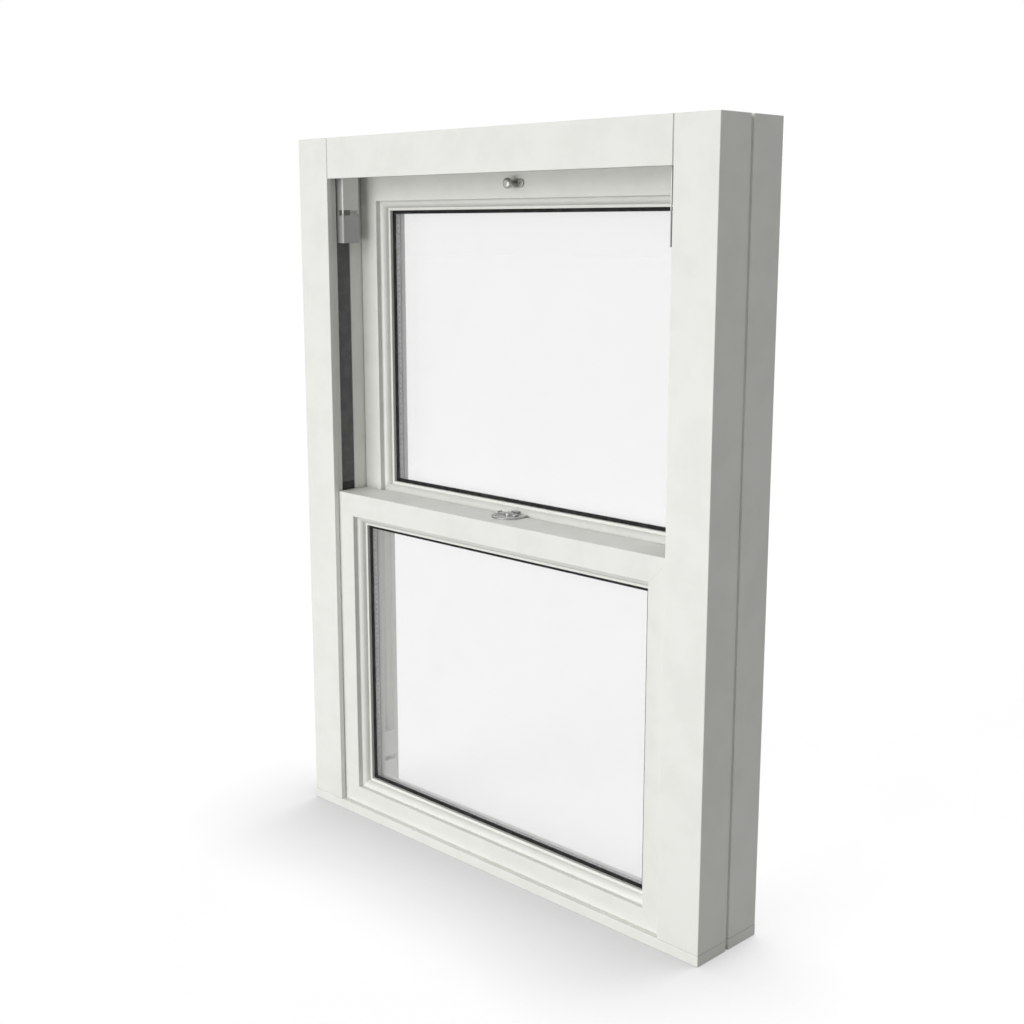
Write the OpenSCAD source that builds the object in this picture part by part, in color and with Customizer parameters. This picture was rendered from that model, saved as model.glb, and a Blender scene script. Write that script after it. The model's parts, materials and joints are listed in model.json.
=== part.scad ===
// Vertical sliding sash window: two balanced sashes in a deep frame.
// Millimetres. X runs across the window, -Y faces the room and Z is up.
// The origin is under the sill, at the middle of the frame's width and depth.

/* [Frame] */
// Overall width of the frame
frame_w = 900; // [700:5:1200]
// Overall height of the frame
frame_h = 1200; // [1100:5:1500]
// Width of a jamb as seen from the room
jamb_face = 76.5; // [60:0.5:100]
// Height of the head as seen from the room
head_face = 67; // [50:0.5:90]
// Height of the sill strip under the jambs
sill_h = 17.5; // [14:0.5:25]
// Height of the track floor in the sill
sill_floor = 8; // [7:0.5:11]
// Thickness of the lips that keep the sashes in their tracks
lip_t = 9.5; // [7:0.5:11]
// How far the lips of the jambs and the head stand over the track
lip_h = 4; // [2.5:0.5:8]
// Width of the fixing groove round the outside of the frame
groove_w = 7; // [4:0.5:12]
// Depth of the fixing groove
groove_d = 4; // [2:0.5:6]
// Width of the shadow line between the head and a jamb
joint_w = 2; // [1:0.25:4]
// Depth of that shadow line
joint_d = 2.5; // [1:0.25:5]
// Small flat that eases the long edges of the profiles
arris = 0.8; // [0.4:0.1:1.5]

/* [Sashes] */
// Depth of a sash, front to back
sash_d = 55.5; // [46:0.5:68]
// Gap between the two sashes, front to back
sash_gap = 9; // [6:0.5:14]
// Width of the flat face of the stiles and rails
rail_face = 40.6; // [32:0.2:60]
// Height by which the two sashes overlap at the meeting rails
meet_overlap = 42; // [36:0.5:60]
// Gap between a sash and the floor of the jamb tracks
side_clear = 1.3; // [0.8:0.1:2.5]
// Gap between a closed sash and the sill or the head
end_clear = 0.3; // [0.3:0.1:2]
// Gap between a sash and the lip in front of it or behind it
track_clear = 1; // [0.5:0.1:2]

/* [Glazing] */
// Step from the sash face back to the glazing bead
bead_set = 8.7; // [4:0.1:11]
// Radius of the quarter round on the bead
ovolo_r = 10.3; // [6:0.1:11]
// Flat before the quarter round of the bead
bead_flat = 0.6; // [0.4:0.1:3]
// Width of the flat edge of the bead beside the glass
quirk_w = 4.6; // [2:0.1:8]
// Distance from the sash face back to the glass
glass_set = 26.5; // [25:0.1:32]
// Thickness of one pane
pane_t = 4; // [3:0.5:6]
// Thickness of the gasket on the room side
gasket_t = 1.5; // [1:0.1:2.5]
// Thickness of the gasket on the outside
outer_gasket_t = 1.5; // [1:0.1:3]
// Width of inner gasket that shows beside the bead
gasket_show = 5.8; // [2:0.1:7]
// Width of outer gasket that shows beside the outer lip
outer_gasket_show = 0; // [0:0.1:4]
// Gap between the edge of the glass and the sash rebate
glass_clear = 3.4; // [2:0.1:5]
// Thickness of the outer lip of the sash
outer_lip = 10; // [7:0.1:12]
// How far the outside of that lip is sloped back to shed water
lip_fall = 1.5; // [1:0.1:4]
// Height of the spacer bar between the panes
spacer_h = 11; // [6:0.5:14]

/* [Travel stops] */
// How far a stop stands out from the track floor
stop_out = 22.9; // [15:0.1:30]
// Width of the cover plate of a stop, across the track
stop_w = 34.7; // [31:0.1:40]
// Thickness of that plate
stop_plate = 2.5; // [2:0.1:4]
// Length of the upper stops below the head
top_stop_l = 111.4; // [60:0.2:160]
// Height of the lower stops above the sill track
bottom_stop_l = 118; // [60:1:160]
// Length of the foot of a stop, past its slot
stop_foot_l = 46.4; // [20:0.2:48]
// Height of the slot across a stop
stop_slot = 9; // [4:0.5:11]

/* [Balances] */
// Distance from the frame's face to the middle of the near balance channel
channel_in = 36; // [33:0.5:40]
// Width of a balance channel
channel_w = 28.5; // [22:0.5:30]
// Depth of a balance channel below the track floor
channel_d = 22; // [18:0.5:26]
// How far a balance case lies below the track floor
case_recess = 1.5; // [0.5:0.1:3]
// Bore of a balance case
case_bore = 14; // [13:0.5:15]
// Height of the end bush of a case above the lower sash
bush_h = 14; // [8:0.5:25]
// Width of the twisted balance strip
strip_w = 9; // [6:0.5:10]
// Thickness of the twisted balance strip
strip_t = 2.2; // [1.5:0.1:3]
// Length of strip in one full turn
strip_pitch = 60; // [40:5:90]
// Length of strip that stays inside the case when a sash is open
strip_hold = 30; // [20:1:60]
// Height of the foot that ties a strip to its sash
foot_h = 28; // [15:1:28]
// Height of that foot above the bottom of the sash
foot_lift = 11; // [10:0.5:12]

/* [Catch and pull] */
// Radius of the round catch on the meeting rail
catch_r = 28.3; // [24:0.1:34]
// Distance from the back of the meeting rail to the catch pivot
catch_in = 2; // [1:0.5:8]
// Thickness of the catch plate
catch_t = 2.5; // [2:0.1:4]
// Thickness of the catch lever
lever_t = 2.4; // [2:0.1:4]
// Width of the catch lever
lever_w = 9; // [6:0.1:12]
// Radius of the lever boss
boss_r = 8; // [6:0.1:10]
// Radius of the rivet that the lever turns on
pivot_r = 3; // [2:0.1:4]
// Length of the thumb end of the lever
thumb_l = 23; // [14:0.5:23]
// Radius of the screw heads
screw_r = 3.5; // [2.5:0.1:4]
// Length of the pull plate
pull_l = 44; // [36:0.5:70]
// Height of the pull plate
pull_h = 13.5; // [11:0.1:20]
// Thickness of the pull plate
pull_t = 3; // [2:0.1:3]
// Radius of the pull knob
knob_r = 8.5; // [7:0.1:12]
// Thickness of the pull knob
knob_t = 9.5; // [5:0.1:9.5]
// Length of the neck between the plate and the knob
neck_l = 6.5; // [3:0.1:6.5]

/* [Hidden] */
$fn = 64;
gap = 0.3;
cut = 1;

// Planes of the frame, which is as deep as its lips, the two sashes and the gaps beside them
frame_d = 2 * (lip_t + track_clear + sash_d) + sash_gap;
front = -frame_d / 2;
back = frame_d / 2;
lip_x = frame_w / 2 - jamb_face;
floor_x = lip_x + lip_h;
jamb_t = jamb_face - lip_h;
soffit_z = frame_h - head_face + lip_h;

// Size and place of the sashes
sash_w = 2 * (floor_x - side_clear);
sash_h = (soffit_z - sill_floor - 2 * end_clear + meet_overlap) / 2;
lower_y = front + lip_t + track_clear;
upper_y = lower_y + sash_d + sash_gap;
lower_z = sill_floor + end_clear;
upper_z = soffit_z - end_clear - sash_h;
meet_z = lower_z + sash_h;
ledge_z = upper_z + rail_face;

// Glazing, measured from the outer edge and from the face of a sash
bead_h = bead_flat + ovolo_r + quirk_w;
sight = rail_face + bead_h;
bead_back = glass_set - gasket_t;
quirk_v = bead_set + ovolo_r;
glass_edge = rail_face + glass_clear;
lip_v = sash_d - outer_lip;
glass_back = lip_v - outer_gasket_t;
cavity = glass_back - glass_set - 2 * pane_t;
gasket_grip = 3;
spacer_in = 4;
spacer_edge = glass_edge + spacer_in;

// Travel stops, and the travel of the upper sash down to its own
stem_clear = 1.9;
stem_w = channel_w - 2 * stem_clear;
slot_floor = 5;
slot_d = stop_out - slot_floor;
slot_edge = 1.5;
upper_travel = upper_z - sill_floor - bottom_stop_l;

// Balances
near_y = front + channel_in;
far_y = back - channel_in;
case_w = channel_w - 2 * gap;
case_x = floor_x + (case_recess + channel_d) / 2;
bush_z = meet_z + gap;
case_z = bush_z + bush_h;
case_cap = 6;
strip_steps = 10;
foot_w = channel_w - 4 * gap;

// Catch and pull
catch_y = lower_y + sash_d - catch_in;
plate_z = meet_z + catch_t;
lever_z = plate_z + gap;
nose_clear = 2;
nose_r = catch_in + sash_gap + bead_set - nose_clear;
boss_up = 0.6;
boss_t = lever_t + boss_up;
thumb_up = 1.2;
pivot_clear = 0.1;
hook_clear = 1;
hook_x = lever_w / 2 + hook_clear;
hook_t = 1.4;
screw_x = 16;
screw_in = 14;
screw_head = 1.4;
shank_r = 1.8;
shank_l = 14;
interlock_h = 14;
pull_rise = 2.6;
pull_z = upper_z + sash_h - rail_face / 2 + pull_rise;
neck_r = 4.5;
pull_screw_x = pull_l / 2 - pull_h / 2;

white = [0.92, 0.925, 0.9];
black = [0.1, 0.1, 0.1];
dark = [0.3, 0.31, 0.31];
steel = [0.72, 0.72, 0.7];
grey = [0.45, 0.46, 0.46];
clear = [0.8, 0.88, 0.88, 0.35];

// Puts a piece made for the right-hand side on either side
module at_side(side) {
    if (side < 0) mirror([1, 0, 0]) children();
    else children();
}

// Rectangle with its four corners eased
module eased(w, h) {
    polygon([
        [arris, 0], [w - arris, 0], [w, arris], [w, h - arris],
        [w - arris, h], [arris, h], [0, h - arris], [0, arris]
    ]);
}

// Jamb section without its balance channels, outer face on x = 0
module jamb_section() {
    difference() {
        eased(jamb_face, frame_d);
        translate([jamb_t, lip_t]) square([lip_h + cut, frame_d - 2 * lip_t]);
        translate([-cut, (frame_d - groove_w) / 2]) square([groove_d + cut, groove_w]);
    }
}

// Pocket for a balance on the right-hand side, from the sill to the head soffit
module balance_channel(y) {
    translate([floor_x - cut, y - channel_w / 2, sill_h - cut])
        cube([channel_d + cut, channel_w, soffit_z - sill_h + cut]);
}

module jamb(side) {
    color(white) at_side(side) difference() {
        translate([frame_w / 2, front, sill_h]) mirror([1, 0, 0])
            linear_extrude(frame_h - sill_h) jamb_section();
        balance_channel(near_y);
        balance_channel(far_y);
        translate([0, -groove_w / 2, frame_h - groove_d])
            cube([frame_w / 2 + cut, groove_w, groove_d + cut]);
    }
}
module jamb_left() { jamb(-1); }
module jamb_right() { jamb(1); }

// Head between the jambs, with a shadow line cut at each end of its faces
module head() {
    lip_z = frame_h - head_face;
    color(white) difference() {
        union() {
            translate([-lip_x, front, lip_z]) cube([2 * lip_x, frame_d, head_face]);
            translate([-floor_x, front + lip_t, soffit_z])
                cube([2 * floor_x, frame_d - 2 * lip_t, frame_h - soffit_z]);
        }
        translate([-lip_x - cut, front + lip_t, lip_z - cut])
            cube([2 * (lip_x + cut), frame_d - 2 * lip_t, lip_h + cut]);
        translate([-floor_x - cut, -groove_w / 2, frame_h - groove_d])
            cube([2 * (floor_x + cut), groove_w, groove_d + cut]);
        for (side = [-1, 1], y = [front - cut, back - joint_d])
            translate([side * (lip_x - joint_w / 2) - joint_w / 2, y, lip_z - cut])
                cube([joint_w, joint_d + cut, head_face + 2 * cut]);
    }
}

// Sill strip under the whole frame, with the track sunk into it
module sill() {
    color(white) difference() {
        translate([-frame_w / 2, front, 0]) rotate([90, 0, 90])
            linear_extrude(frame_w) eased(frame_d, sill_h);
        translate([-floor_x, front + lip_t, sill_floor])
            cube([2 * floor_x, frame_d - 2 * lip_t, sill_h]);
        translate([-frame_w / 2 - cut, -groove_w / 2, -cut])
            cube([frame_w + 2 * cut, groove_w, groove_d + cut]);
        for (x = [-frame_w / 2 - cut, frame_w / 2 - groove_d])
            translate([x, -groove_w / 2, -cut])
                cube([groove_d + cut, groove_w, sill_h + 2 * cut]);
    }
}

// Section of a stop: a cover plate on a stem that reaches into the balance channel
module stop_section(plug) {
    translate([floor_x - stop_out, 0]) {
        difference() {
            translate([0, -stop_w / 2]) square([stop_plate, stop_w]);
            for (edge = [-1, 1])
                translate([0, edge * stop_w / 2]) rotate(45) square(2 * arris, center = true);
        }
        translate([stop_plate / 2, -stem_w / 2])
            square([stop_out - stop_plate / 2 + plug, stem_w]);
    }
}
// Stop for the right-hand side; a blind slot parts its head from its foot
module travel_stop(y, z, length, slot_z, plug) {
    translate([0, y, 0]) difference() {
        translate([0, 0, z]) linear_extrude(length) stop_section(plug);
        translate([floor_x - stop_out - cut, slot_edge - stop_w / 2, slot_z])
            cube([slot_d + cut, stop_w - 2 * slot_edge, stop_slot]);
    }
}
// Upper stop, bedded on the face of the balance case
module top_stop(side) {
    z = soffit_z - top_stop_l;
    color(steel) at_side(side)
        travel_stop(near_y, z, top_stop_l, z + stop_foot_l, case_recess);
}
// Lower stop, bedded on the bottom of the empty channel and cut away over the sill
module bottom_stop(side) {
    slot_z = sill_floor + bottom_stop_l - stop_foot_l - stop_slot;
    color(steel) at_side(side) difference() {
        travel_stop(far_y, sill_floor, bottom_stop_l, slot_z, channel_d);
        translate([floor_x, far_y - channel_w / 2, sill_floor - cut])
            cube([channel_d + cut, channel_w, sill_h - sill_floor + cut]);
    }
}
module top_stop_left() { top_stop(-1); }
module top_stop_right() { top_stop(1); }
module bottom_stop_left() { bottom_stop(-1); }
module bottom_stop_right() { bottom_stop(1); }

// Outline that the case and its bush share in a channel
module case_block(y, z, height) {
    translate([floor_x + case_recess, y - case_w / 2, z])
        cube([channel_d - case_recess, case_w, height]);
}
module balance_case(side, y) {
    color(dark) at_side(side) difference() {
        case_block(y, case_z, soffit_z - case_z);
        translate([case_x, y, case_z - cut])
            cylinder(d = case_bore, h = soffit_z - case_z - case_cap + cut);
    }
}
module balance_bush(side, y) {
    color(black) at_side(side) difference() {
        case_block(y, bush_z, bush_h);
        translate([case_x, y, bush_z - cut])
            cylinder(d = norm([strip_w, strip_t]) + 2 * gap, h = bush_h + 2 * cut);
    }
}
module lower_balance_case_left() { balance_case(-1, near_y); }
module lower_balance_case_right() { balance_case(1, near_y); }
module upper_balance_case_left() { balance_case(-1, far_y); }
module upper_balance_case_right() { balance_case(1, far_y); }
module lower_balance_bush_left() { balance_bush(-1, near_y); }
module lower_balance_bush_right() { balance_bush(1, near_y); }
module upper_balance_bush_left() { balance_bush(-1, far_y); }
module upper_balance_bush_right() { balance_bush(1, far_y); }

// Twisted strip from the foot of a sash up into the case
module balance_strip(side, y, sash_z, drop) {
    strip_z = sash_z + foot_lift + foot_h;
    strip_l = case_z + strip_hold + drop - strip_z;
    turns = strip_l / strip_pitch;
    color(steel) at_side(side) translate([case_x, y, strip_z])
        linear_extrude(strip_l, twist = -360 * turns, slices = ceil(strip_steps * turns), segments = 4)
            square([strip_w, strip_t], center = true);
}
// Foot that runs in the channel, with a tongue screwed to the edge of the sash
module balance_foot(side, y, sash_z) {
    tongue_h = foot_h / 2;
    color(grey) at_side(side) translate([0, y - foot_w / 2, sash_z + foot_lift]) {
        translate([floor_x + case_recess, 0, 0])
            cube([channel_d - case_recess - 2 * gap, foot_w, foot_h]);
        translate([floor_x - side_clear, 0, 0])
            cube([case_recess + side_clear, foot_w, tongue_h]);
    }
}
module lower_balance_strip_left() { balance_strip(-1, near_y, lower_z, 0); }
module lower_balance_strip_right() { balance_strip(1, near_y, lower_z, 0); }
module upper_balance_strip_left() { balance_strip(-1, far_y, upper_z, upper_travel); }
module upper_balance_strip_right() { balance_strip(1, far_y, upper_z, upper_travel); }
module lower_balance_foot_left() { balance_foot(-1, near_y, lower_z); }
module lower_balance_foot_right() { balance_foot(1, near_y, lower_z); }
module upper_balance_foot_left() { balance_foot(-1, far_y, upper_z); }
module upper_balance_foot_right() { balance_foot(1, far_y, upper_z); }

// Section of the stiles and rails: depth along x, outer edge on y = 0
module sash_section() {
    polygon([
        [arris, 0], [sash_d - arris, 0], [sash_d, arris], [sash_d, rail_face],
        [sash_d - lip_fall, sight], [lip_v, sight], [lip_v, rail_face],
        [arris, rail_face], [0, rail_face - arris], [0, arris]
    ]);
}

// Section of the glazing bead, standing on the floor of the sash rebate
module bead_section() {
    translate([quirk_v, 0]) square([bead_back - quirk_v, bead_h]);
    translate([bead_set, 0]) square([ovolo_r, bead_flat]);
    intersection() {
        translate([quirk_v, bead_flat]) circle(ovolo_r);
        translate([bead_set, bead_flat]) square(ovolo_r);
    }
}

// Straight moulding along X with both ends mitred
module mitred(length, reach) {
    half = length / 2;
    top = reach + cut;
    intersection() {
        rotate([90, 0, 90]) linear_extrude(length, center = true) children();
        translate([0, sash_d + cut, 0]) rotate([90, 0, 0]) linear_extrude(sash_d + 2 * cut)
            polygon([[-half - cut, -cut], [half + cut, -cut], [half - top, top], [top - half, top]]);
    }
}

// Turns a moulding made along the bottom edge on to any edge of a w by h opening
module on_edge(edge, w, h) {
    if (edge == "bottom") children();
    if (edge == "top") translate([0, 0, h]) mirror([0, 0, 1]) children();
    if (edge == "left") translate([-w / 2, 0, h / 2]) rotate([0, 90, 0]) children();
    if (edge == "right") translate([w / 2, 0, h / 2]) rotate([0, -90, 0]) children();
}
function edge_length(edge, w, h) = edge == "left" || edge == "right" ? h : w;

module sash_member(edge, y, z) {
    color(white) translate([0, y, z]) on_edge(edge, sash_w, sash_h)
        mitred(edge_length(edge, sash_w, sash_h), sight) sash_section();
}
module sash_bead(edge, y, z) {
    w = sash_w - 2 * rail_face;
    h = sash_h - 2 * rail_face;
    color(white) translate([0, y, z + rail_face]) on_edge(edge, w, h)
        mitred(edge_length(edge, w, h), bead_h) bead_section();
}

// Flat slab of a sash, set in from its outer edges
module sash_slab(inset, thickness) {
    translate([inset - sash_w / 2, 0, inset])
        cube([sash_w - 2 * inset, thickness, sash_h - 2 * inset]);
}
// Slab with its middle cut away to leave a ring
module sash_ring(inset, reach, thickness) {
    difference() {
        sash_slab(inset, thickness);
        translate([0, -cut, 0]) sash_slab(reach, thickness + 2 * cut);
    }
}
module inner_gasket(y, z) {
    color(black) translate([0, y + bead_back, z])
        sash_ring(glass_edge + gasket_grip, sight + gasket_show, gasket_t);
}
module outer_gasket(y, z) {
    color(grey) translate([0, y + glass_back, z])
        sash_ring(glass_edge + gasket_grip, sight + outer_gasket_show, outer_gasket_t);
}
module inner_pane(y, z) {
    color(clear) translate([0, y + glass_set, z]) sash_slab(glass_edge, pane_t);
}
module outer_pane(y, z) {
    color(clear) translate([0, y + glass_back - pane_t, z]) sash_slab(glass_edge, pane_t);
}
module spacer(y, z) {
    color(grey) translate([0, y + glass_set + pane_t, z])
        sash_ring(spacer_edge, spacer_edge + spacer_h, cavity);
}

module lower_stile_left() { sash_member("left", lower_y, lower_z); }
module lower_stile_right() { sash_member("right", lower_y, lower_z); }
module lower_bottom_rail() { sash_member("bottom", lower_y, lower_z); }
module lower_meeting_rail() {
    color(white) difference() {
        sash_member("top", lower_y, lower_z);
        catch_screw_places() cylinder(r = shank_r, h = 2 * shank_l, center = true);
    }
}
module lower_bead_left() { sash_bead("left", lower_y, lower_z); }
module lower_bead_right() { sash_bead("right", lower_y, lower_z); }
module lower_bead_bottom() { sash_bead("bottom", lower_y, lower_z); }
module lower_bead_top() { sash_bead("top", lower_y, lower_z); }
module lower_inner_gasket() { inner_gasket(lower_y, lower_z); }
module lower_outer_gasket() { outer_gasket(lower_y, lower_z); }
module lower_inner_pane() { inner_pane(lower_y, lower_z); }
module lower_outer_pane() { outer_pane(lower_y, lower_z); }
module lower_spacer() { spacer(lower_y, lower_z); }

module upper_stile_left() { sash_member("left", upper_y, upper_z); }
module upper_stile_right() { sash_member("right", upper_y, upper_z); }
module upper_meeting_rail() { sash_member("bottom", upper_y, upper_z); }
module upper_top_rail() {
    color(white) difference() {
        sash_member("top", upper_y, upper_z);
        pull_screw_places() cylinder(r = shank_r, h = 2 * shank_l, center = true);
    }
}
module upper_bead_left() { sash_bead("left", upper_y, upper_z); }
module upper_bead_right() { sash_bead("right", upper_y, upper_z); }
module upper_bead_bottom() { sash_bead("bottom", upper_y, upper_z); }
module upper_bead_top() { sash_bead("top", upper_y, upper_z); }
module upper_inner_gasket() { inner_gasket(upper_y, upper_z); }
module upper_outer_gasket() { outer_gasket(upper_y, upper_z); }
module upper_inner_pane() { inner_pane(upper_y, upper_z); }
module upper_outer_pane() { outer_pane(upper_y, upper_z); }
module upper_spacer() { spacer(upper_y, upper_z); }

// Hooked strip that closes the gap behind the lower meeting rail
module meeting_interlock() {
    depth = sash_gap - gap;
    wall = depth / 3;
    color(white) translate([-sash_w / 2, lower_y + sash_d, meet_z - interlock_h])
        rotate([90, 0, 90]) linear_extrude(sash_w) difference() {
            square([depth, interlock_h]);
            translate([wall, -cut]) square([wall, interlock_h - wall + cut]);
        }
}

// Round outline of the catch; y0 to y1 is the band of it that a piece fills
module catch_outline(y0, y1) {
    intersection() {
        translate([0, catch_y]) circle(catch_r);
        translate([-catch_r, y0]) square([2 * catch_r, y1 - y0]);
    }
}
module catch_screw_places() {
    for (x = [-screw_x, screw_x]) translate([x, catch_y - screw_in, meet_z]) children();
}
// Countersunk screw with its head flush, top on z = 0
module screw(depth) {
    translate([0, 0, -screw_head]) cylinder(r1 = shank_r, r2 = screw_r, h = screw_head);
    translate([0, 0, -depth]) cylinder(r = shank_r, h = depth);
}
module catch_plate() {
    color(steel) {
        difference() {
            translate([0, 0, meet_z]) linear_extrude(catch_t)
                catch_outline(catch_y - catch_r, upper_y - gap);
            catch_screw_places() translate([0, 0, catch_t]) screw(2 * catch_t);
        }
        translate([0, catch_y, plate_z]) cylinder(r = pivot_r, h = gap + boss_t);
    }
}
module catch_screws() {
    color(steel) catch_screw_places() translate([0, 0, catch_t]) screw(catch_t + shank_l);
}
// Lever lying along the rail; a quarter turn puts its nose under the keeper
module catch_lever() {
    color(steel) translate([0, catch_y, lever_z]) difference() {
        union() {
            cylinder(r = boss_r, h = boss_t);
            translate([0, -lever_w / 2, 0]) cube([nose_r - lever_w / 2, lever_w, lever_t]);
            translate([nose_r - lever_w / 2, 0, 0]) cylinder(d = lever_w, h = lever_t);
            translate([-thumb_l, -lever_w / 2, 0]) cube([thumb_l, lever_w, lever_t]);
            translate([-thumb_l, -lever_w / 2, 0]) cube([lever_t, lever_w, lever_t + thumb_up]);
        }
        translate([0, 0, -cut]) cylinder(r = pivot_r + pivot_clear, h = boss_t + 2 * cut);
    }
}
// Keeper on the ledge of the upper sash, with a hook open towards the lever
module catch_keeper() {
    y0 = upper_y + gap;
    y1 = upper_y + bead_set - gap;
    hook_z = lever_z + lever_t + gap;
    color(steel) {
        translate([0, 0, ledge_z]) linear_extrude(plate_z - ledge_z) catch_outline(y0, y1);
        translate([-hook_x - hook_t, y0, plate_z])
            cube([hook_t, y1 - y0, hook_z + hook_t - plate_z]);
        translate([-hook_x, y0, hook_z]) cube([2 * hook_x, y1 - y0, hook_t]);
    }
}

// Frame of the pull: z = 0 is the face of the upper top rail, +z points to the room
module on_pull() {
    translate([0, upper_y, pull_z]) rotate([90, 0, 0]) children();
}
module pull_screw_places() {
    on_pull() for (x = [-pull_screw_x, pull_screw_x]) translate([x, 0, 0]) children();
}
module pull_plate() {
    color(steel) difference() {
        on_pull() union() {
            translate([-pull_screw_x, -pull_h / 2, 0]) cube([2 * pull_screw_x, pull_h, pull_t]);
            for (x = [-pull_screw_x, pull_screw_x])
                translate([x, 0, 0]) cylinder(d = pull_h, h = pull_t);
        }
        pull_screw_places() translate([0, 0, pull_t]) screw(2 * pull_t);
    }
}
module pull_screws() {
    color(steel) pull_screw_places() translate([0, 0, pull_t]) screw(pull_t + shank_l);
}
// Turned knob with a full round rim
module pull_knob() {
    rim = knob_t / 2;
    color(steel) on_pull() translate([0, 0, pull_t]) rotate_extrude() {
        square([neck_r, neck_l + rim]);
        translate([0, neck_l]) square([knob_r - rim, knob_t]);
        intersection() {
            translate([knob_r - rim, neck_l + rim]) circle(rim);
            translate([knob_r - rim, neck_l]) square([rim, knob_t]);
        }
    }
}

jamb_left();
jamb_right();
head();
sill();
top_stop_left();
top_stop_right();
bottom_stop_left();
bottom_stop_right();
lower_balance_case_left();
lower_balance_case_right();
upper_balance_case_left();
upper_balance_case_right();
lower_balance_bush_left();
lower_balance_bush_right();
upper_balance_bush_left();
upper_balance_bush_right();
lower_stile_left();
lower_stile_right();
lower_bottom_rail();
lower_meeting_rail();
lower_bead_left();
lower_bead_right();
lower_bead_bottom();
lower_bead_top();
lower_inner_gasket();
lower_outer_gasket();
lower_inner_pane();
lower_outer_pane();
lower_spacer();
lower_balance_strip_left();
lower_balance_strip_right();
lower_balance_foot_left();
lower_balance_foot_right();
meeting_interlock();
catch_plate();
catch_screws();
catch_lever();
upper_stile_left();
upper_stile_right();
upper_meeting_rail();
upper_top_rail();
upper_bead_left();
upper_bead_right();
upper_bead_bottom();
upper_bead_top();
upper_inner_gasket();
upper_outer_gasket();
upper_inner_pane();
upper_outer_pane();
upper_spacer();
upper_balance_strip_left();
upper_balance_strip_right();
upper_balance_foot_left();
upper_balance_foot_right();
catch_keeper();
pull_plate();
pull_screws();
pull_knob();
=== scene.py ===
import json
import math

import bmesh
import bpy
from mathutils import Matrix, Vector


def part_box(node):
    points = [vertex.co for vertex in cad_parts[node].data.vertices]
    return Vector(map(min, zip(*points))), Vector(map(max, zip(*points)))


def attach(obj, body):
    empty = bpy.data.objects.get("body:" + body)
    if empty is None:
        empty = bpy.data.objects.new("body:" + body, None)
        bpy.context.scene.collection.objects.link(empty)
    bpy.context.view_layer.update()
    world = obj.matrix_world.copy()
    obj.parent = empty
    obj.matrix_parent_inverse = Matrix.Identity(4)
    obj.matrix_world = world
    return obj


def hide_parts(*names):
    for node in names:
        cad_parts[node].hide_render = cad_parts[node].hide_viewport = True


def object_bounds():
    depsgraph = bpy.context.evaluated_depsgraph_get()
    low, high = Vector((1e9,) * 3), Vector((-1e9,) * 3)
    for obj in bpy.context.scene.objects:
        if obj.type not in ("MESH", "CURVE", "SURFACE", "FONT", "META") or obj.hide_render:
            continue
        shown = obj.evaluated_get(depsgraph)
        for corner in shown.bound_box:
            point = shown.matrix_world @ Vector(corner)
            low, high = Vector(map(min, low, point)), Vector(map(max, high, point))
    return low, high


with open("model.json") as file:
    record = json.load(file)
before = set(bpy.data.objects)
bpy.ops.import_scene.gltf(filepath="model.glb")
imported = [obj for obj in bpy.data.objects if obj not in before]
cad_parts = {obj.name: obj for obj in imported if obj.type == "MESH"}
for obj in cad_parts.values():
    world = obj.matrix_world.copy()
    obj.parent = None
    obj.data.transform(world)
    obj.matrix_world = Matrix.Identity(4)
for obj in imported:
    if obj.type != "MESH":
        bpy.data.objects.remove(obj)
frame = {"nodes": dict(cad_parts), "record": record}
cad_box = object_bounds()

# Sizes in metres, angles in degrees, colours in linear light
MM = 0.001
BODIES = frame["record"]["behaviour"]["bodies"]
BODY_OF = {node: body for body, nodes in BODIES.items() for node in nodes}
SLOT_OF = {piece["node"]: piece["material_slot"] for piece in frame["record"]["subparts"]}
WINDOW_MIDDLE = (cad_box[0] + cad_box[1]) / 2

# Camera
CAMERA_AZIMUTH = 44.985
CAMERA_ELEVATION = 11.283
CAMERA_DISTANCE = 2.3035
CAMERA_LENS_MM = 50
CAMERA_SENSOR_MM = 36

# Studio light
FRONT_SUN = {"direction": (-0.19, -0.91, 0.36), "strength": 1.46, "angle": 45}
BACK_SUN = {"direction": (0.05, 0.72, 0.69), "strength": 0.9, "angle": 50}
LOW_BACK_SUN = {"direction": (-0.2, 0.977, 0.075), "strength": 0.8, "angle": 8}
PANEL_PLACE = (-0.45, -3.0, 0.28)
PANEL_SIZE = (2.4, 0.5)
PANEL_WATTS = 26.5
AMBIENT = 0.32
FLOOR_GREY = (0.35, 0.35, 0.35, 1)
FLOOR_GLOW = 0.77
# The floor's glow is darkened by ambient occlusion around the window: a painted shadow.
FLOOR_SHADE = 0.75
FLOOR_SHADE_REACH = 0.30
FLOOR_SHADE_LEAN = {"X": 0.0, "Y": 0.45, "Z": 0.89}
FLOOR_SHADE_SAMPLES = 16
FLOOR_HALF = 40

# Small pieces
STRIP_WIDTH = 9 * MM
STRIP_THICKNESS = 2.2 * MM
STRIP_PITCH = 60 * MM
STRIP_STEPS = 240
STRIP_SHARP_ANGLE = 40
SCREW_HEAD_RADIUS = 3.5 * MM
SCREW_HEAD_DEPTH = 1.4 * MM
SCREW_HEAD_EDGE = 0.25 * MM
SCREW_SHANK_RADIUS = 1.8 * MM
SCREW_CROSS_REACH = 1.9 * MM
SCREW_CROSS_HALF_WIDTH = 0.42 * MM
SCREW_CROSS_DEPTH = 1.2 * MM
SCREW_CROSS_TAPER = 0.55
SCREW_SIDES = 40
SCREW_SHARP_ANGLE = 35
STOP_FOOT_LEVELS = (600 * MM, 1076 * MM)
STOP_FOOT_BLUR = 1 * MM
STOP_PLATE_BACK = 357.0 * MM
STOP_PLATE_BLUR = 0.3 * MM
SILL_SEAM_LEVEL = 17.5 * MM
SILL_SEAM_HALF = 0.55 * MM
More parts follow.
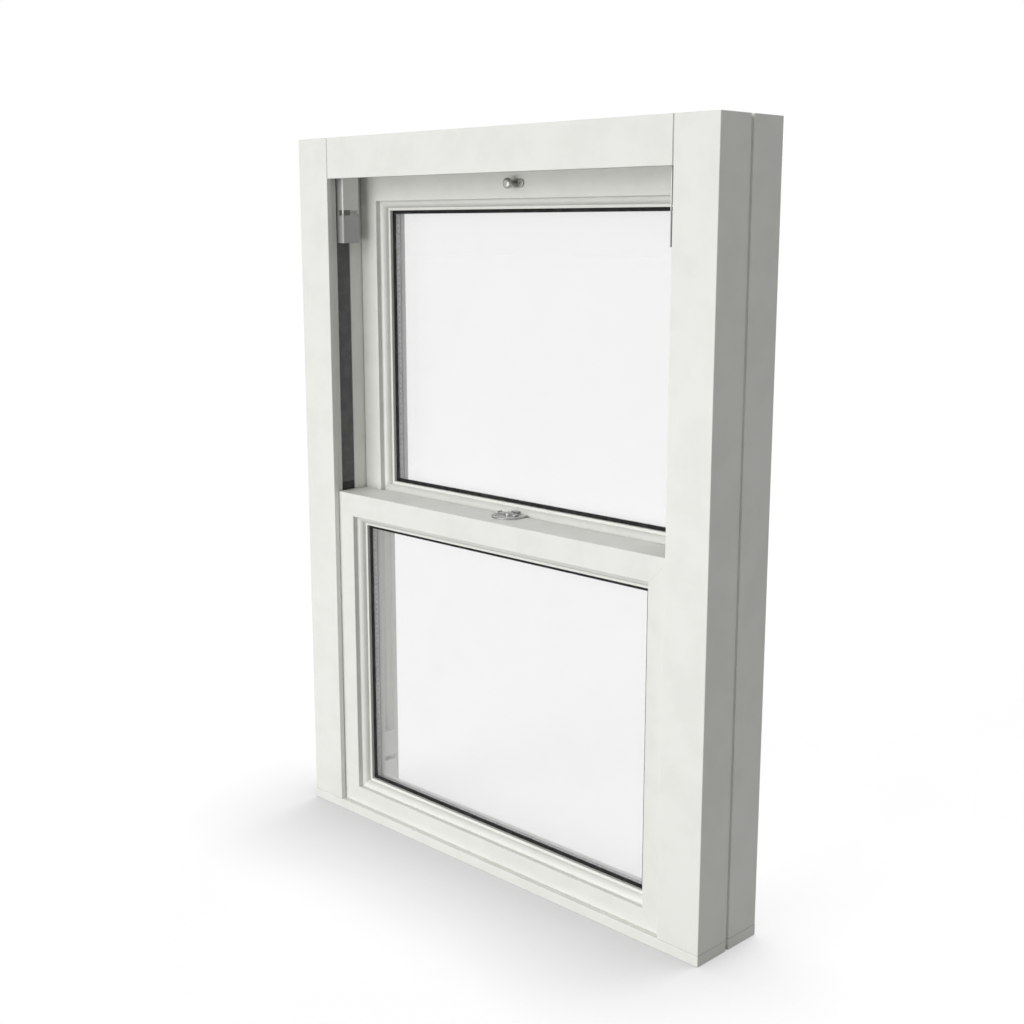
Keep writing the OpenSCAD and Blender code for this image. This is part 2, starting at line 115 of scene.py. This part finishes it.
SILL_SEAM_INNER = 373.5 * MM
SILL_SEAM_BLUR = 0.5 * MM
SPACER_HEIGHT = 11 * MM
SPACER_SLOT = (2.4 * MM, 0.9 * MM)
SPACER_SLOT_PROUD = 0.03 * MM
SPACER_SLOT_END_STEPS = 6
SPACER_SLOT_PITCH = 9 * MM
SPACER_CORNER_CLEAR = 12 * MM

# Copies of the solids: what counts as one point, one plane and an arris, and the rounding's steps
MERGE_DISTANCE = 0.002 * MM
FLAT_ANGLE = 0.5
ARRIS_ANGLE = 30
ARRIS_STEPS = 2
HARDWARE_ARRIS_STEPS = 3
# Width of the rounding on the arrises, for each material
ARRIS = {
    "frame_white": 0.5 * MM, "sash_white": 0.35 * MM, "stop_metal": 0.4 * MM, "gasket_black": 0.3 * MM,
    "gasket_grey": 0.3 * MM, "spacer_grey": 0.3 * MM, "case_grey": 0.5 * MM, "bush_black": 0.4 * MM,
    "foot_grey": 0.5 * MM, "hardware": 0.5 * MM,
}

# Colours and glass
PAINT = (0.83, 0.838, 0.792, 1)
PAINT_CLOUD = (0.795, 0.803, 0.757, 1)
SEAM_DUST_AND_SHADE = (0.42, 0.424, 0.403, 1)
# The sash paint is the frame's white coloured a little darker: painted shade for the sashes set back in the
# frame.
SASH_PAINT = (0.810, 0.818, 0.773, 1)
SASH_PAINT_CLOUD = (0.778, 0.786, 0.741, 1)
# The stop's foot and stem colours are painted shade; the plate colour is the stop's own.
STOP_PLATE = (0.82, 0.825, 0.80, 1)
STOP_FOOT_SHADE = (0.53, 0.535, 0.52, 1)
STOP_STEM_SHADE = (0.40, 0.405, 0.395, 1)
RUBBER = (0.011, 0.011, 0.011, 1)
RUBBER_DUST = (0.028, 0.028, 0.027, 1)
RUBBER_GREY = (0.42, 0.42, 0.41, 1)
RUBBER_GREY_DUST = (0.48, 0.48, 0.47, 1)
CASE_GREY = (0.094, 0.098, 0.098, 1)
CASE_LIGHT = (0.125, 0.129, 0.128, 1)
BUSH_BLACK = (0.012, 0.012, 0.012, 1)
BUSH_WORN = (0.03, 0.03, 0.03, 1)
SPACER_METAL = (0.30, 0.305, 0.30, 1)
SPACER_DULL = (0.24, 0.245, 0.24, 1)
HOLE_SHADE = (0.02, 0.02, 0.02, 1)
STEEL = (0.56, 0.56, 0.55, 1)
STEEL_DARK = (0.42, 0.42, 0.41, 1)
FOOT_GREY = (0.30, 0.305, 0.305, 1)
FOOT_LIGHT = (0.36, 0.365, 0.36, 1)
CHROME = (0.44, 0.44, 0.43, 1)
CHROME_HAZE = (0.35, 0.35, 0.34, 1)
GLASS_TINT = (0.958, 0.960, 0.959, 1)
# The glass's white veil is part dry film and part painted reflection of the bright studio.
GLASS_FILM_AND_REFLECTION = (0.90, 0.90, 0.90, 1)
GLASS_VEIL_LEAST = 0.08
GLASS_VEIL_SPREAD = 0.02
GLASS_IOR = 1.2


class Value:
    """A node's output that takes part in Python expressions."""

    def __init__(self, builder, socket):
        self.builder = builder
        self.socket = socket

    def maths(self, operation, first, second):
        return self.builder.node("ShaderNodeMath", {"operation": operation}, {0: first, 1: second})

    def __add__(self, other):
        return self.maths("ADD", self, other)

    def __sub__(self, other):
        return self.maths("SUBTRACT", self, other)

    def __rsub__(self, other):
        return self.maths("SUBTRACT", other, self)

    def __mul__(self, other):
        return self.maths("MULTIPLY", self, other)

    def __abs__(self):
        return self.maths("ABSOLUTE", self, 0.0)

    __radd__ = __add__
    __rmul__ = __mul__


class Builder:
    """Adds nodes to a tree, one call for each node."""

    def __init__(self, tree):
        self.tree = tree

    def node(self, kind, settings=None, sockets=None, output=0):
        made = self.tree.nodes.new(kind)
        for name, setting in (settings or {}).items():
            setattr(made, name, setting)
        for key, value in (sockets or {}).items():
            if isinstance(value, Value):
                self.tree.links.new(value.socket, made.inputs[key])
            else:
                made.inputs[key].default_value = value
        if made.outputs:
            return Value(self, made.outputs[output])
        return made

    def seen_directly(self):
        """1 where the camera sees a thing, straight on, in a reflection or through glass."""
        rays = [
            self.node("ShaderNodeLightPath", output=kind)
            for kind in ("Is Camera Ray", "Is Glossy Ray", "Is Transmission Ray")
        ]
        return rays[0].maths("MAXIMUM", rays[0].maths("MAXIMUM", rays[0], rays[1]), rays[2])


class Finish(Builder):
    """A material whose patterns lie in the window's own coordinates."""

    def __init__(self, name):
        self.material = bpy.data.materials.new(name)
        self.material.use_nodes = True
        super().__init__(self.material.node_tree)
        self.tree.nodes.clear()
        self.place = self.node("ShaderNodeTexCoord", output="Object")

    def noise(self, scale, detail=2.0, roughness=0.5, place=None):
        sockets = {"Vector": place or self.place, "Scale": scale, "Detail": detail, "Roughness": roughness}
        return self.node("ShaderNodeTexNoise", sockets=sockets)

    def stretched(self, x, y, z):
        """The window's coordinates, scaled along each axis."""
        return self.node("ShaderNodeMapping", sockets={"Vector": self.place, "Scale": (x, y, z)})

    def between(self, value, low, high):
        """0 where the value is low and 1 where it is high, smoothly."""
        limits = {"Value": value, "From Min": low, "From Max": high}
        return self.node("ShaderNodeMapRange", {"interpolation_type": "SMOOTHSTEP"}, limits)

    def axis(self, name):
        """The place along one axis of the window."""
        return self.node("ShaderNodeSeparateXYZ", sockets={"Vector": self.place}, output=name)

    def blend(self, factor, first, second):
        return self.node("ShaderNodeMix", {"data_type": "RGBA"}, {0: factor, 6: first, 7: second}, output=2)

    def bump(self, height, strength, distance):
        sockets = {"Height": height, "Strength": strength, "Distance": distance}
        return self.node("ShaderNodeBump", sockets=sockets)

    def principled(self, sockets):
        return self.node("ShaderNodeBsdfPrincipled", sockets=sockets)

    def show(self, shader):
        self.node("ShaderNodeOutputMaterial", sockets={"Surface": shader})
        return self.material


class Pattern(Builder):
    """A Geometry Nodes tree with named inputs, whose result becomes a plain mesh."""

    def __init__(self, name, inputs):
        super().__init__(bpy.data.node_groups.new(name, "GeometryNodeTree"))
        interface = self.tree.interface
        added = {
            label: interface.new_socket(label, in_out="INPUT", socket_type="NodeSocket" + kind)
            for label, kind in {"Geometry": "Geometry", **inputs, "Material": "Material"}.items()
        }
        interface.new_socket("Geometry", in_out="OUTPUT", socket_type="NodeSocketGeometry")
        self.identifiers = {label: socket.identifier for label, socket in added.items()}
        self.group = self.tree.nodes.new("NodeGroupInput")

    def input(self, label):
        return Value(self, self.group.outputs[label])

    def finish(self, geometry):
        solid = self.node("GeometryNodeRealizeInstances", sockets={"Geometry": geometry})
        dressed = {"Geometry": solid, "Material": self.input("Material")}
        self.node("NodeGroupOutput", sockets={0: self.node("GeometryNodeSetMaterial", sockets=dressed)})
        return self

    def make(self, name, mesh, values):
        piece = add_object(name, mesh)
        modifier = piece.modifiers.new("pattern", "NODES")
        modifier.node_group = self.tree
        for label, value in values.items():
            modifier[self.identifiers[label]] = value
        return baked(piece)


def sill_seam(finish):
    """1 in the fine seam between the sill strip and the feet of the jambs, which takes dust and painted
    shade.
    """
    off_seam = abs(finish.axis("Z") - SILL_SEAM_LEVEL)
    below_jamb = finish.between(abs(finish.axis("X")), SILL_SEAM_INNER, SILL_SEAM_INNER + SILL_SEAM_BLUR)
    in_seam = 1 - finish.between(off_seam, SILL_SEAM_HALF / 2, SILL_SEAM_HALF)
    return in_seam * below_jamb


def satin_paint(name, colour, cloud, cloud_scale, seam=None):
    """Satin white paint with a faint cloudiness, the fine skin of a sprayed coat, and dust with painted shade
    in a seam.
    """
    finish = Finish(name)
    clouds = finish.noise(cloud_scale, detail=5.0, roughness=0.6)
    patches = finish.between(clouds, 0.42, 0.66)
    skin = finish.noise(1400.0, detail=1.0)
    sheen = finish.noise(60.0, detail=3.0)
    paint = finish.blend(patches, colour, cloud)
    return finish.show(finish.principled({
        # Dust and painted shade darken the paint along the seam.
        "Base Color": finish.blend(seam(finish), paint, SEAM_DUST_AND_SHADE) if seam else paint,
        "Roughness": 0.36 + 0.12 * sheen,
        "Normal": finish.bump(skin, 0.06, 0.2 * MM),
    }))


def moulded_plastic(name, colour, worn, roughness, shine=0.5):
    """Moulded plastic or rubber with a fine grain and slightly uneven colour."""
    finish = Finish(name)
    grain = finish.noise(900.0, detail=2.0)
    patches = finish.between(finish.noise(70.0, detail=4.0), 0.40, 0.70)
    return finish.show(finish.principled({
        "Base Color": finish.blend(patches, colour, worn),
        "Roughness": roughness + 0.12 * grain,
        "Specular IOR Level": shine,
        "Normal": finish.bump(grain, 0.15, 0.1 * MM),
    }))


def brushed_metal(name, bright, dull, roughness, lengthways):
    """Metal with fine drawing marks along one axis and a little haze."""
    finish = Finish(name)
    marks = finish.noise(1.0, detail=3.0, place=finish.stretched(*lengthways))
    haze = finish.between(finish.noise(130.0, detail=3.0), 0.38, 0.72)
    return finish.show(finish.principled({
        "Base Color": finish.blend(haze, bright, dull),
        "Metallic": 1.0,
        "Roughness": roughness + 0.10 * marks,
        "Normal": finish.bump(marks, 0.05, 0.05 * MM),
    }))


def stop_metal():
    """Coated metal: a light plate, with the foot of the upper stops coloured darker and the stem coloured
    grey, both as painted shade.
    """
    finish = Finish("stop aluminium")
    marks = finish.noise(1.0, detail=3.0, place=finish.stretched(900, 900, 40))
    height = finish.axis("Z")
    low, high = STOP_FOOT_LEVELS
    above_low = finish.between(height, low - STOP_FOOT_BLUR, low)
    above_high = finish.between(height, high - STOP_FOOT_BLUR, high)
    # Painted shade: the foot of the upper stops, below their slot, is coloured darker than the plate.
    foot_painted_shade = above_low - above_high
    # Painted shade: the stem behind the plate is coloured grey, standing for the shade between the plate and
    # the jamb lip.
    stem_painted_shade = finish.between(abs(finish.axis("X")), STOP_PLATE_BACK, STOP_PLATE_BACK + STOP_PLATE_BLUR)
    plate = finish.blend(foot_painted_shade, STOP_PLATE, STOP_FOOT_SHADE)
    return finish.show(finish.principled({
        "Base Color": finish.blend(stem_painted_shade, plate, STOP_STEM_SHADE),
        "Roughness": 0.34 + 0.10 * marks,
        "Normal": finish.bump(marks, 0.05, 0.05 * MM),
    }))


def float_glass():
    """Float glass with a faint white diffuse veil, part dry film and part painted reflection of the bright
    studio, which lets the studio's light through to what is behind it.
    """
    finish = Finish("float glass")
    film = finish.between(finish.noise(5.0, detail=3.0), 0.45, 0.8)
    pane = finish.principled({
        "Base Color": GLASS_TINT,
        "Roughness": 0.004 * film,
        "IOR": GLASS_IOR,
        "Transmission Weight": 1.0,
    })
    # Painted reflection: a white diffuse layer mixed into each pane stands in for the glass reflecting the
    # bright studio, along with its dry film.
    film_and_painted_reflection = finish.node("ShaderNodeBsdfDiffuse", sockets={"Color": GLASS_FILM_AND_REFLECTION})
    share = GLASS_VEIL_LEAST + GLASS_VEIL_SPREAD * film
    veiled_pane = finish.node("ShaderNodeMixShader", sockets={0: share, 1: pane, 2: film_and_painted_reflection})
    passing = finish.node("ShaderNodeBsdfTransparent", sockets={"Color": GLASS_TINT})
    shadow = finish.node("ShaderNodeLightPath", output="Is Shadow Ray")
    diffuse = finish.node("ShaderNodeLightPath", output="Is Diffuse Ray")
    light = shadow.maths("MAXIMUM", shadow, diffuse)
    return finish.show(finish.node("ShaderNodeMixShader", sockets={0: light, 1: veiled_pane, 2: passing}))


FINISHES = {
    "frame_white": satin_paint("frame paint", PAINT, PAINT_CLOUD, 13.0, seam=sill_seam),
    "sash_white": satin_paint("sash paint", SASH_PAINT, SASH_PAINT_CLOUD, 17.0),
    "stop_metal": stop_metal(),
    "gasket_black": moulded_plastic("gasket rubber", RUBBER, RUBBER_DUST, 0.60, shine=0.15),
    "gasket_grey": moulded_plastic("outer gasket rubber", RUBBER_GREY, RUBBER_GREY_DUST, 0.60, shine=0.15),
    "glass": float_glass(),
    "spacer_grey": brushed_metal("spacer aluminium", SPACER_METAL, SPACER_DULL, 0.38, (400, 400, 400)),
    "case_grey": moulded_plastic("balance case plastic", CASE_GREY, CASE_LIGHT, 0.42),
    "bush_black": moulded_plastic("bush plastic", BUSH_BLACK, BUSH_WORN, 0.40),
    "strip_steel": brushed_metal("balance strip steel", STEEL, STEEL_DARK, 0.28, (900, 900, 40)),
    "foot_grey": moulded_plastic("foot plastic", FOOT_GREY, FOOT_LIGHT, 0.45),
    "hardware": brushed_metal("satin chrome", CHROME, CHROME_HAZE, 0.30, (60, 900, 900)),
}


def add_object(name, mesh):
    made = bpy.data.objects.new(name, mesh)
    bpy.context.scene.collection.objects.link(made)
    return made


def baked(piece):
    """The piece with its modifiers worked into its mesh."""
    bpy.context.view_layer.update()
    evaluated = piece.evaluated_get(bpy.context.evaluated_depsgraph_get())
    mesh = bpy.data.meshes.new_from_object(evaluated)
    piece.modifiers.clear()
    piece.data = mesh
    return piece


def settle(piece, slot, body, *nodes):
    """Ties a finished piece to its body, its material slot and the nodes that it stands for."""
    if not piece.data.materials:
        piece.data.materials.append(FINISHES[slot])
    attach(piece, body)
    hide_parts(*nodes)
    return piece


def merge_flats(solid):
    """Joins the points that lie together, and then the faces that lie in one plane."""
    bmesh.ops.remove_doubles(solid, verts=solid.verts, dist=MERGE_DISTANCE)
    bmesh.ops.dissolve_limit(
        solid, angle_limit=math.radians(FLAT_ANGLE), verts=solid.verts, edges=solid.edges)


def eased(node, slot, width):
    """A copy of a solid with its arrises rounded, as paint, moulding or polishing leaves them."""
    source = frame["nodes"][node].data
    mesh = bpy.data.meshes.new(node + "_eased")
    mesh.from_pydata([v.co for v in source.vertices], [], [list(p.vertices) for p in source.polygons])
    solid = bmesh.new()
    solid.from_mesh(mesh)
    merge_flats(solid)
    for face in solid.faces:
        face.smooth = True
    solid.to_mesh(mesh)
    solid.free()
    piece = add_object(node + "_eased", mesh)
    bevel = piece.modifiers.new("arris", "BEVEL")
    bevel.width = width
    bevel.segments = HARDWARE_ARRIS_STEPS if slot == "hardware" else ARRIS_STEPS
    bevel.limit_method = "ANGLE"
    bevel.angle_limit = math.radians(ARRIS_ANGLE)
    bevel.use_clamp_overlap = True
    weighted = piece.modifiers.new("faces", "WEIGHTED_NORMAL")
    weighted.keep_sharp = True
    weighted.weight = 100
    return settle(baked(piece), slot, BODY_OF[node], node)


def named(word):
    """The nodes whose names hold a word."""
    return [node for node in frame["nodes"] if word in node]


for node, slot in SLOT_OF.items():
    if slot in ARRIS and not node.endswith("_screws"):
        eased(node, slot, ARRIS[slot])
for node in named("_pane"):
    frame["nodes"][node].data.materials.clear()
    frame["nodes"][node].data.materials.append(FINISHES["glass"])


def twisted_strip():
    """A flat strip turned evenly about its own line."""
    pattern = Pattern("twisted strip", {
        "Foot": "Vector", "Top": "Vector", "Turn": "Float",
        "Width": "Float", "Thickness": "Float", "Steps": "Int",
    })
    line = pattern.node(
        "GeometryNodeCurvePrimitiveLine",
        sockets={"Start": pattern.input("Foot"), "End": pattern.input("Top")})
    steps = pattern.node(
        "GeometryNodeResampleCurve", sockets={"Curve": line, "Count": pattern.input("Steps")})
    along = pattern.node("GeometryNodeSplineParameter", output="Factor")
    turned = pattern.node(
        "GeometryNodeSetCurveTilt", sockets={"Curve": steps, "Tilt": along * pattern.input("Turn")})
    section = pattern.node(
        "GeometryNodeCurvePrimitiveQuadrilateral",
        sockets={"Width": pattern.input("Width"), "Height": pattern.input("Thickness")})
    return pattern.finish(pattern.node(
        "GeometryNodeCurveToMesh", sockets={"Curve": turned, "Profile Curve": section, "Fill Caps": True}))


def row_of_copies():
    """Copies of one small shape at even steps along a straight row."""
    pattern = Pattern("row of copies", {"Count": "Int", "Start": "Vector", "Step": "Vector"})
    row = pattern.node("GeometryNodeMeshLine", {"mode": "OFFSET"}, {
        "Count": pattern.input("Count"),
        "Start Location": pattern.input("Start"),
        "Offset": pattern.input("Step"),
    })
    return pattern.finish(pattern.node(
        "GeometryNodeInstanceOnPoints", sockets={"Points": row, "Instance": pattern.input("Geometry")}))


STRIP = twisted_strip()
ROW = row_of_copies()


def shade_by_angle(mesh, degrees):
    """Smooth faces with the edges sharper than an angle kept crisp."""
    solid = bmesh.new()
    solid.from_mesh(mesh)
    for face in solid.faces:
        face.smooth = True
    for edge in solid.edges:
        edge.smooth = edge.calc_face_angle(0) < math.radians(degrees)
    solid.to_mesh(mesh)
    solid.free()


def balance_strip(node):
    low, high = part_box(node)
    middle = (low + high) / 2
    piece = STRIP.make(node + "_twisted", bpy.data.meshes.new(node + "_twisted"), {
        "Foot": (middle.x, middle.y, low.z),
        "Top": (middle.x, middle.y, high.z),
        "Turn": 2 * math.pi * (high.z - low.z) / STRIP_PITCH,
        "Width": STRIP_WIDTH,
        "Thickness": STRIP_THICKNESS,
        "Steps": STRIP_STEPS,
        "Material": FINISHES["strip_steel"],
    })
    shade_by_angle(piece.data, STRIP_SHARP_ANGLE)
    settle(piece, "strip_steel", BODY_OF[node], node)


def lathe(name, profile, steps):
    """A closed solid turned about Z from (radius, height) points that start and end on the axis."""
    solid = bmesh.new()
    points = [solid.verts.new((radius, 0, height)) for radius, height in profile]
    lines = [solid.edges.new(pair) for pair in zip(points, points[1:])]
    bmesh.ops.spin(
        solid, geom=points + lines, axis=(0, 0, 1), cent=(0, 0, 0), angle=2 * math.pi, steps=steps)
    merge_flats(solid)
    bmesh.ops.recalc_face_normals(solid, faces=solid.faces)
    mesh = bpy.data.meshes.new(name)
    solid.to_mesh(mesh)
    solid.free()
    return mesh


def cross_recess():
    """The tapered cross that a driver fits, open at the top of a screw."""
    reach, half = SCREW_CROSS_REACH, SCREW_CROSS_HALF_WIDTH
    quarter = [(reach, -half), (reach, half), (half, half)]
    outline = [
        Matrix.Rotation(turn * math.pi / 2, 2) @ Vector(point) for turn in range(4) for point in quarter
    ]
    solid = bmesh.new()
    rings = [
        [solid.verts.new((size * point.x, size * point.y, height)) for point in outline]
        for size, height in ((1.0, SCREW_CROSS_DEPTH), (SCREW_CROSS_TAPER, -SCREW_CROSS_DEPTH))
    ]
    solid.faces.new(rings[0])
    solid.faces.new(reversed(rings[1]))
    for step in range(len(outline)):
        following = (step + 1) % len(outline)
        solid.faces.new((rings[0][following], rings[0][step], rings[1][step], rings[1][following]))
    bmesh.ops.recalc_face_normals(solid, faces=solid.faces)
    mesh = bpy.data.meshes.new("cross_recess")
    solid.to_mesh(mesh)
    solid.free()
    return mesh


def countersunk_screw(length):
    """A screw whose head is flush with z = 0, with its driving recess cut."""
    body = add_object("screw_body", lathe("screw_body", [
        (0, 0), (SCREW_HEAD_RADIUS - SCREW_HEAD_EDGE, 0), (SCREW_HEAD_RADIUS, -SCREW_HEAD_EDGE),
        (SCREW_SHANK_RADIUS, -SCREW_HEAD_DEPTH), (SCREW_SHANK_RADIUS, -length), (0, -length),
    ], SCREW_SIDES))
    cutter = add_object("screw_cutter", cross_recess())
    cut = body.modifiers.new("recess", "BOOLEAN")
    cut.object = cutter
    mesh = baked(body).data
    bpy.data.objects.remove(body)
    bpy.data.objects.remove(cutter)
    shade_by_angle(mesh, SCREW_SHARP_ANGLE)
    return mesh


def screw_pair(node, facing):
    """Two screws in a row along X, with their heads towards a direction."""
    low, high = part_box(node)
    middle = (low + high) / 2
    depth = max(abs(Vector(facing).dot(high - low)), SCREW_HEAD_DEPTH)
    mesh = countersunk_screw(depth)
    mesh.transform(Vector(facing).to_track_quat("Z", "Y").to_matrix().to_4x4())
    top = middle + Vector(facing) * depth / 2
    first = Vector((low.x + SCREW_HEAD_RADIUS, top.y, top.z))
    last = Vector((high.x - SCREW_HEAD_RADIUS, top.y, top.z))
    piece = ROW.make(node + "_cross_headed", mesh, {
        "Count": 2, "Start": first, "Step": last - first, "Material": FINISHES["hardware"],
    })
    settle(piece, "hardware", BODY_OF[node], node)


def painted_slot_shade(across, up, facing):
    """A thin dark sheet, painted shade standing for one punched slot, lying on a face of the spacer bar."""
    length, width = SPACER_SLOT
    points = []
    for side in (1, -1):
        for step in range(SPACER_SLOT_END_STEPS + 1):
            angle = math.pi * (step / SPACER_SLOT_END_STEPS - 0.5) + (0 if side > 0 else math.pi)
            points.append(
                across * (side * (length - width) / 2 + math.cos(angle) * width / 2)
                + up * math.sin(angle) * width / 2
            )
    solid = bmesh.new()
    face = solid.faces.new([solid.verts.new(point) for point in points])
    raised = bmesh.ops.extrude_face_region(solid, geom=[face])["geom"]
    bmesh.ops.translate(
        solid, vec=facing * SPACER_SLOT_PROUD, verts=[v for v in raised if isinstance(v, bmesh.types.BMVert)])
    bmesh.ops.recalc_face_normals(solid, faces=solid.faces)
    mesh = bpy.data.meshes.new("painted_slot_shade")
    solid.to_mesh(mesh)
    solid.free()
    return mesh


def joined(name, pieces):
    """Several plain meshes as one."""
    solid = bmesh.new()
    for piece in pieces:
        solid.from_mesh(piece.data)
    mesh = bpy.data.meshes.new(name)
    solid.to_mesh(mesh)
    solid.free()
    mesh.materials.append(pieces[0].data.materials[0])
    for piece in pieces:
        bpy.data.objects.remove(piece)
    return add_object(name, mesh)


def spacer_slots(node):
    """Rows of dark sheets, painted shade standing for punched slots, along the four inner faces of a spacer
    bar.
    """
    low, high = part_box(node)
    middle = (low + high) / 2
    opening = (high - low) / 2 - Vector((SPACER_HEIGHT, 0, SPACER_HEIGHT))
    rows = []
    for along, inward, run, reach in (
        (Vector((1, 0, 0)), Vector((0, 0, 1)), opening.x, opening.z),
        (Vector((0, 0, 1)), Vector((1, 0, 0)), opening.z, opening.x),
    ):
        count = int(2 * (run - SPACER_CORNER_CLEAR) / SPACER_SLOT_PITCH) + 1
        half_row = along * (count - 1) * SPACER_SLOT_PITCH / 2
        for side in (-1, 1):
            start = middle + inward * side * reach - half_row
            rows.append(ROW.make("row", painted_slot_shade(along, Vector((0, 1, 0)), -side * inward), {
                "Count": count, "Start": start, "Step": along * SPACER_SLOT_PITCH, "Material": SLOT_SHADE,
            }))
    settle(joined(node + "_slots", rows), "spacer_grey", BODY_OF[node])


# Painted shade: a near-black finish with faint random patches stands for the shade inside the spacer's slots.
SLOT_SHADE = moulded_plastic("slot shadow", HOLE_SHADE, RUBBER_DUST, 0.8)
for node in named("_strip_"):
    balance_strip(node)
screw_pair("catch_screws", (0, 0, 1))
screw_pair("pull_screws", (0, -1, 0))
for node in named("_spacer"):
    spacer_slots(node)


def camera():
    azimuth = math.radians(CAMERA_AZIMUTH)
    elevation = math.radians(CAMERA_ELEVATION)
    back = Vector((
        math.sin(azimuth) * math.cos(elevation),
        -math.cos(azimuth) * math.cos(elevation),
        math.sin(elevation),
    ))
    lens = bpy.data.cameras.new("camera")
    lens.lens = CAMERA_LENS_MM
    lens.sensor_width = CAMERA_SENSOR_MM
    made = add_object("camera", lens)
    made.location = WINDOW_MIDDLE + CAMERA_DISTANCE * back
    made.rotation_euler = back.to_track_quat("Z", "Y").to_euler()
    bpy.context.scene.camera = made


def soft_sun(name, direction, strength, angle):
    """A broad lamp far off in a direction."""
    sun = bpy.data.lights.new(name, "SUN")
    sun.energy = strength
    sun.angle = math.radians(angle)
    made = add_object(name, sun)
    made.rotation_euler = Vector(direction).to_track_quat("Z", "Y").to_euler()


def low_panel():
    """A long low lamp in front of the window, like light thrown back by a white floor."""
    panel = bpy.data.lights.new("low panel", "AREA")
    panel.shape = "RECTANGLE"
    panel.size, panel.size_y = PANEL_SIZE
    panel.energy = PANEL_WATTS
    made = add_object("low panel", panel)
    made.location = PANEL_PLACE
    made.rotation_euler = (math.radians(90), 0, 0)


def studio_world():
    world = bpy.data.worlds.new("studio")
    world.use_nodes = True
    world.node_tree.nodes.clear()
    builder = Builder(world.node_tree)
    strength = AMBIENT + (1 - AMBIENT) * builder.seen_directly()
    sky = builder.node("ShaderNodeBackground", sockets={"Color": (1, 1, 1, 1), "Strength": strength})
    builder.node("ShaderNodeOutputWorld", sockets={"Surface": sky})
    bpy.context.scene.world = world


def studio_floor():
    mesh = bpy.data.meshes.new("floor")
    corners = [(x, y, 0) for x, y in ((-1, -1), (1, -1), (1, 1), (-1, 1))]
    mesh.from_pydata([FLOOR_HALF * Vector(corner) for corner in corners], [], [(0, 1, 2, 3)])
    floor = add_object("floor", mesh)
    finish = Finish("floor")
    matt = finish.node("ShaderNodeBsdfDiffuse", sockets={"Color": FLOOR_GREY})
    lean = finish.node("ShaderNodeCombineXYZ", sockets=FLOOR_SHADE_LEAN)
    open_sky = finish.node(
        "ShaderNodeAmbientOcclusion", {"samples": FLOOR_SHADE_SAMPLES},
        {"Distance": FLOOR_SHADE_REACH, "Normal": lean}, output="AO")
    # Painted shadow: the floor's glow is darkened where ambient occlusion finds the window close by.
    floor_glow_with_painted_shadow = FLOOR_GLOW * (1 - FLOOR_SHADE * (1 - open_sky)) * finish.seen_directly()
    glow = finish.node("ShaderNodeEmission", sockets={"Color": floor_glow_with_painted_shadow, "Strength": 1.0})
    both = finish.node("ShaderNodeAddShader", sockets={0: matt, 1: glow})
    mesh.materials.append(finish.show(both))


camera()
soft_sun("front", **FRONT_SUN)
soft_sun("back", **BACK_SUN)
soft_sun("low back", **LOW_BACK_SUN)
low_panel()
studio_world()
studio_floor()
bpy.context.scene.view_settings.view_transform = "Standard"
